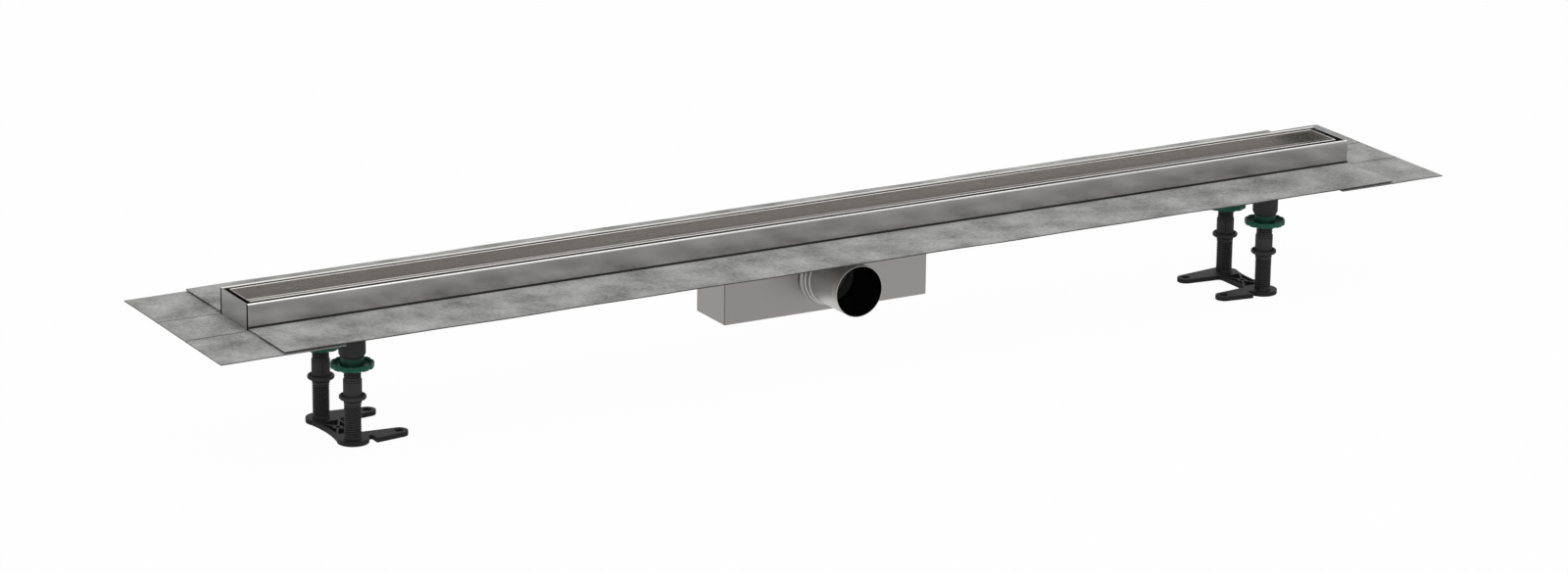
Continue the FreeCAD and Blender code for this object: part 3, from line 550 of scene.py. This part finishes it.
def collar_root_shade(steel):
    """Painted shade: a dark line where the collar's flare leaves the front, fading out below the outlet's
    middle.
    """
    away = from_outlet(steel)
    line = steel.ramp_outwards(away, 29.2, 30.2) - steel.ramp_outwards(away, 31.0, 32.0)
    front = 1 - steel.ramp(steel.along("Y"), -1 * MM, 1 * MM)
    return line * front * steel.ramp(steel.along("Z"), pipe_level - 22 * MM, pipe_level)


trap_steel = brushed("trap_steel", tone(158, 156, 154), tone(142, 140, 138), (18, 60, 60), 0.36,
                     marks=((corner_seams, tone(118, 116, 114), tone(102, 100, 98)),
                            (collar, tone(190, 189, 187), tone(170, 169, 167)),
                            (collar_root_shade, tone(66, 65, 63), tone(54, 53, 52))))
softened("trap_housing", 0.15, trap_steel)


def turned(name, profile, shape, material, body, turns, node=None, middle=(0, 0), facing=1):
    """A closed profile of (radius, height) in mm carried round a middle line.

    The profile is a whole array, first point to last and back to the first. shape(angle, radius,
    height) gives x, y and z in mm about the middle line and may bend the rings into lobes, flats or
    threads; x and y are then turned to face that way, 1 or -1, and moved to the middle.
    """
    angle, row = np.meshgrid(np.arange(turns) * 2 * np.pi / turns, np.arange(len(profile)), indexing="ij")
    x, y, z = shape(angle, profile[row, 0], profile[row, 1])
    points = np.stack([middle[0] + facing * x, middle[1] + facing * y, z], axis=-1).reshape(-1, 3)
    index = np.arange(x.size).reshape(x.shape)
    ahead = np.roll(index, -1, axis=0)
    up, up_ahead = np.roll(index, -1, axis=1), np.roll(ahead, -1, axis=1)
    faces = np.stack([index, ahead, up_ahead, up], axis=-1).reshape(-1, 4).tolist()
    return placed(closed(name, points, faces, material, 38), body, node)


def arc(radius, height, bend, start, end, steps):
    """Points on an arc about (radius, height), from a start angle to an end angle in degrees."""
    turn = np.radians(np.linspace(start, end, steps + 1))
    return np.stack([radius + bend * np.cos(turn), height + bend * np.sin(turn)], axis=-1)


def path(*parts):
    """Points and arcs joined into one profile."""
    return np.concatenate([np.atleast_2d(np.array(part, dtype=float)) for part in parts])


def straight(radius, start, end, count):
    """Points at one radius, evenly from a start height to an end height."""
    return np.stack([np.full(count, float(radius)), np.linspace(start, end, count)], axis=-1)


tube = Finish("outlet_steel", Metallic=1.0)
rings = tube.noise((60, 900, 60), 3.0)
smears = tube.noise((25, 60, 25), 2.0)
from_weld = tube.ramp(tube.along("Y"), -47 * MM, -38 * MM)
drawn = tube.blend(rings * 0.35 + smears * 0.65, tone(190, 189, 187), tone(214, 213, 211))
# Painted shade: the bore is painted near black for the shade inside the tube.
bore_shade = 1 - tube.ramp_outwards(from_outlet(tube), BORE + 0.3, BORE + 0.8)
outside = tube.blend(from_weld * smears, drawn, tone(180, 177, 172))
tube_steel = tube.dress(Base_Color=tube.blend(bore_shade, outside, tone(36, 36, 35)),
                        Roughness=0.38 + rings * 0.12 + from_weld * 0.04,
                        Normal=tube.relief(rings, 4e-6))


def lying(angle, radius, height):
    """Turned about -Y instead of up, at the outlet's level; the bead's crown is rippled as it was laid.

    Radius - 0.14 |sin(31 angle + 1.1 (height - root))| on the bead, which is where it stands over 25.1.
    """
    on_bead = np.clip((radius - TUBE - 0.1) / 0.8, 0, 1) * (height > pipe_root)
    radius = radius - 0.14 * on_bead * np.abs(np.sin(31 * angle + 1.1 * (height - pipe_root)))
    return radius * np.cos(angle), -height, pipe_level / MM + radius * np.sin(angle)


bead_turn = np.linspace(0, np.pi, 13)
bead = np.stack([TUBE + 1.0 * np.sin(bead_turn), pipe_root + 1.2 - 1.1 * np.cos(bead_turn)], axis=-1)
depth_rings = [(TUBE - 0.14 * (step % 2), pipe_end - back) for mark in (7.0, 4.4, 2.0)
               for step, back in enumerate((mark + 0.4, mark, mark - 0.4))]
stub = path((BORE, pipe_root), bead, straight(TUBE, pipe_root + 2.8, pipe_end - 9, 24), depth_rings,
            (TUBE, pipe_end - 0.4), arc(TUBE - 0.3, pipe_end - 0.3, 0.3, 0, 90, 3),
            arc(BORE + 0.3, pipe_end - 0.3, 0.3, 90, 180, 3),
            straight(BORE, pipe_end - 0.6, pipe_root + 1, 12))
turned("outlet_stub", stub, lying, tube_steel, "channel", 186, "outlet_pipe")
ring_turn = np.linspace(0, np.pi, 9)
collar_ring = path(np.stack([26.7 + 1.1 * np.sin(ring_turn), 32.2 - 1.6 * np.cos(ring_turn)], axis=-1),
                   (26.2, 32.2))
turned("collar_ring", collar_ring, lying, tube_steel, "channel", 96)


# Water trap.
# A smooth grey moulded funnel and cup that lift out together; a rubber ring seals the funnel's neck.
# They hang unseen inside the box.

trap_plastic = moulded("trap_plastic", tone(150, 152, 154), tone(132, 134, 137), 1500, 0.32)
softened("trap_funnel", 0.3, trap_plastic)
softened("trap_cup", 0.3, trap_plastic)
rubber = Finish("seal_rubber", IOR=1.5)
bloom = rubber.noise((300, 300, 300), 3.0)
seal_rubber = rubber.dress(Base_Color=rubber.blend(bloom, tone(34, 34, 34), tone(52, 52, 51)),
                           Roughness=0.62 + bloom * 0.2, Normal=rubber.relief(bloom, 3e-5))
softened("funnel_seal", 0.2, seal_rubber)


# Feet.
# Black glass-filled moulding: a socket screwed under each bracket, a stud with a coarse thread, and a
# foot plate. The green hand nut on the stud's upper thread carries the socket and sets the height.

post_x, post_y = (sum(corner[axis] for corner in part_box("socket_right_rear")) / 2 for axis in (0, 1))


def from_post(plastic):
    """The square of the way from the middle line of the nearest post, in square metres."""
    return (abs(plastic.along("X")) - post_x) ** 2 + (abs(plastic.along("Y")) - post_y) ** 2


def thread_root_shade(plastic):
    """Painted shade: the grooves of a stud's thread and its other hollows, painted darker than its crests.
    """
    return 1 - plastic.ramp_outwards(from_post(plastic), 7.3, 8.0)


def nut_hub_shade(plastic):
    """Painted shade: the hub of a nut, under the socket, painted darker than its rim."""
    return 1 - plastic.ramp_outwards(from_post(plastic), 11.8, 13.5)


black_plastic = moulded("black_plastic", tone(48, 48, 48), tone(39, 39, 40), 2200, 0.62, shine=0.13)
socket_plastic = moulded("socket_plastic", tone(63, 63, 63), tone(51, 51, 52), 2200, 0.62, shine=0.13)
# The studs' thread grooves and hollows are painted darker: painted shade.
stud_plastic = moulded("stud_plastic", tone(68, 68, 68), tone(56, 56, 57), 2200, 0.6, shine=0.15,
                       marks=((thread_root_shade, tone(34, 34, 35)),))
# The nuts' hubs are painted darker: painted shade under the sockets.
green_plastic = moulded("green_plastic", tone(12, 98, 76), tone(6, 72, 56), 2200, 0.46, shine=0.3,
                        marks=((nut_hub_shade, tone(2, 66, 50)),))

PITCH, LOWER_THREAD, UPPER_THREAD, SHANK = 2.25, 8.15, 8.0, 8.65
SCALLOPS, SCALLOP, SCALLOP_MIDDLE, DISC = 12, 2.9, 21.4, 20
SEAMS = {"left_rear": 258, "right_rear": 57}
SOCKET = path((2, 112), (12.1, 112), arc(12.1, 111.6, 0.4, 90, 0, 3), (12.5, 98.8), (12.25, 98.6),
              (12.25, 97.8), (12.5, 97.6), (12.5, 85.9), arc(11.9, 85.5, 0.6, 0, -24, 2),
              arc(10.6, 82.6, 0.4, -24, -90, 3), (8.9, 82.2), (8.6, 82.5), (8.6, 104), (2, 104))
NUT = path((8.05, 71.8), (16.5, 71.8), arc(18.9, 72.9, 1.1, -90, 0, 5), arc(19.2, 76.2, 0.8, 0, 90, 4),
           arc(18.6, 76.5, 0.5, 90, 180, 3), arc(16.4, 74.8, 0.8, -10, -90, 4),
           arc(11.3, 74.8, 0.8, -90, -180, 4), arc(10.1, 81.5, 0.4, 0, 90, 3), (8.05, 81.9))
STUD = path((0.001, 1.1), (5, 1.1), (5, 4.5), straight(LOWER_THREAD, 4.5, 38, 140),
            arc(8.2, 38.2, 0.1, -90, 0, 2), (8.3, 39.6), (7.5, 40.1), (7.5, 41.4), (8.1, 41.6),
            arc(10.8, 43.4, 1.8, -90, 0, 6), arc(11.0, 44.2, 1.6, 0, 90, 6),
            arc(10.9, 45.3, 0.5, 90, 180, 3), (10.2, 44.2), (9.7, 43.9), (8.9, 43.9), (SHANK, 44.2),
            (SHANK, 46.6), (SHANK, 46.8), (SHANK, 58.0), (SHANK, 58.2), (SHANK, 58.5),
            (8.05, 58.6), (8.05, 59.1), arc(8.45, 59.3, 0.2, -90, 0, 2), arc(8.45, 60.3, 0.2, 0, 90, 2),
            straight(UPPER_THREAD, 60.5, 95, 140), (7.0, 96), (0.001, 96))


def thread(height, angle, start, end, depth):
    """Depth of a rounded thread: the pitch's saw wave over height and angle, faded over one turn."""
    wave = np.abs(((height / PITCH - angle / (2 * np.pi)) % 1) * 2 - 1)
    crest = np.clip(wave * 1.9 - 0.45, 0, 1)
    fade = np.clip((height - start) / PITCH, 0, 1) * np.clip((end - height) / PITCH, 0, 1)
    return depth * (1 - crest) * fade


def upright(angle, radius, height):
    """A plain round about the middle line."""
    return radius * np.cos(angle), radius * np.sin(angle), height


def lobed(angle, radius, height):
    """Twelve scallops in the rim: each is the near side of a circle of 2.9 about 21.4, rounded off."""
    off = (angle * SCALLOPS / (2 * np.pi) + 0.5) % 1 - 0.5
    slant = off * 2 * np.pi / SCALLOPS
    aside = SCALLOP_MIDDLE * np.sin(slant)
    near = SCALLOP_MIDDLE * np.cos(slant) - np.sqrt(np.clip(SCALLOP ** 2 - aside ** 2, 0, None))
    bite = np.clip(DISC - near, 0, None) * (np.abs(aside) < SCALLOP)
    return upright(angle, radius - bite * np.clip((radius - 16) / 4, 0, 1), height)


def threaded(seam):
    """The shape of a stud: its threads, a flat on the inward side of the lower one, and a mould's seam.

    The flat cuts x off at 6.15 mm and has a ledge 0.3 mm deep in each turn of the thread. The seam is a
    V groove, 0.9 mm deep and wide, down the shank at an angle in degrees; a front stud has none.
    """
    def shape(angle, radius, height):
        radius = radius - thread(height, angle, 5, 37.5, 0.85) - thread(height, angle, 61, 95.5, 0.75)
        if seam is not None:
            on_seam = (np.abs(np.degrees(angle) - seam) < 1) & (height > 46.7) & (height < 58.1)
            radius = radius - 0.9 * on_seam
        ledge = 0.3 * (np.abs((height / PITCH) % 1 - 0.5) < 0.22)
        flat = np.where((height > 4.5) & (height < 37.9), 6.15 - ledge, np.inf)
        return np.minimum(radius * np.cos(angle), flat), radius * np.sin(angle), height
    return shape


for spot in ("left_front", "left_rear", "right_front", "right_rear"):
    low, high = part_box("socket_" + spot)
    middle = (low[0] + high[0]) / 2 / MM, (low[1] + high[1]) / 2 / MM
    inward = 1 if middle[0] < 0 else -1
    socket, nut, stud = "socket_" + spot, "height_nut_" + spot, "stud_" + spot
    turned(socket + "_body", SOCKET, upright, socket_plastic, "channel", 96, socket, middle)
    turned(nut + "_body", NUT, lobed, green_plastic, "nut_" + spot, 192, nut, middle)
    turned(stud + "_body", STUD, threaded(SEAMS.get(spot)), stud_plastic, "foot_" + spot.split("_")[0],
           120, stud, middle, inward)

for side in ("left", "right"):
    softened("base_plate_" + side, 0.45, black_plastic, "foot_" + side, 3)


# Studio.
# A plain white floor that keeps a soft shadow, white surroundings, and three large soft lamps: one
# overhead, one low behind that lights the rims, and a weaker one in front.

FLOOR_HALF, FLOOR_DROP = 30, 0.2 * MM
ground = bpy.data.meshes.new("studio_floor")
corners = [(x, y, -FLOOR_DROP) for x, y in ((-FLOOR_HALF, -FLOOR_HALF), (FLOOR_HALF, -FLOOR_HALF),
                                            (FLOOR_HALF, FLOOR_HALF), (-FLOOR_HALF, FLOOR_HALF))]
ground.from_pydata(corners, [], [(0, 1, 2, 3)])
floor = bpy.data.objects.new("studio_floor", ground)
bpy.context.scene.collection.objects.link(floor)


def seen_rays(shading):
    """1 for rays from the camera and for those that metal or glass sends on, 0 for the light's own."""
    share = shading.node("ShaderNodeLightPath", output="Is Camera Ray")
    for kind in ("Is Glossy Ray", "Is Transmission Ray"):
        share = share.math("MAXIMUM", share, shading.node("ShaderNodeLightPath", output=kind))
    return share


paper = Finish("studio_paper", Roughness=0.9, Specular_IOR_Level=0.0, Base_Color=(0.8, 0.8, 0.8))
glow = paper.node("ShaderNodeEmission", None, {"Color": (1.0, 1.0, 1.0), "Strength": 1.0})
lit = Shade(paper.tree, paper.shader.outputs[0])
sheet_of_paper = paper.node("ShaderNodeMixShader", None, {0: seen_rays(paper) * 0.975, 1: lit, 2: glow})
paper.set(paper.tree.nodes["Material Output"], {"Surface": sheet_of_paper})
ground.materials.append(paper.material)

world = bpy.data.worlds.new("studio")
bpy.context.scene.world = world
world.use_nodes = True
sky = Shading(world.node_tree)
sky.set(sky.tree.nodes["Background"], {"Color": (1.0, 1.0, 1.0), "Strength": 0.62 + seen_rays(sky) * 0.38})


def stood(item, place, side, over, ahead):
    """A lamp or camera in the scene at a place, with its sides, its top and its -Z in these directions."""
    holder = bpy.data.objects.new(item.name, item)
    turn = np.eye(4)
    turn[:3, 0], turn[:3, 1], turn[:3, 2], turn[:3, 3] = side, over, -ahead, place
    holder.matrix_world = Matrix(turn.tolist())
    bpy.context.scene.collection.objects.link(holder)
    return holder


def soft_lamp(name, place, aim, width, height, watts):
    """A rectangular lamp of a width and height in metres, turned to face a point."""
    lamp = bpy.data.lights.new(name, "AREA")
    lamp.shape = "RECTANGLE"
    lamp.size, lamp.size_y, lamp.energy = width, height, watts
    ahead = np.array(aim, float) - np.array(place, float)
    ahead /= np.linalg.norm(ahead)
    side = np.cross(ahead, (0, 0, 1))
    side /= np.linalg.norm(side)
    stood(lamp, place, side, np.cross(side, ahead), ahead)


soft_lamp("overhead", (-0.2, -0.3, 2.6), (0, 0, 0.1), 3.0, 2.0, 27)
soft_lamp("behind", (2.2, 3.4, 1.4), (0, 0, 0.12), 3.2, 1.4, 27)
soft_lamp("in_front", (-2.6, -2.6, 1.6), (0, 0, 0.1), 1.6, 1.6, 10)

camera = bpy.data.cameras.new("photo_view")
camera.lens = 121.72
camera.sensor_width = 36
camera.clip_end = 100
yaw, pitch, roll = np.radians((29.9564, 16.9232, -0.6689))
ahead = np.array((math.sin(yaw) * math.cos(pitch), math.cos(yaw) * math.cos(pitch), -math.sin(pitch)))
level = np.array((math.cos(yaw), -math.sin(yaw), 0))
down = np.cross(ahead, level)
right = level * math.cos(roll) + down * math.sin(roll)
over = level * math.sin(roll) - down * math.cos(roll)
bpy.context.scene.camera = stood(camera, (-2.4408, -4.1813, 1.5407), right, over, ahead)
bpy.context.scene.view_settings.view_transform = "Standard"
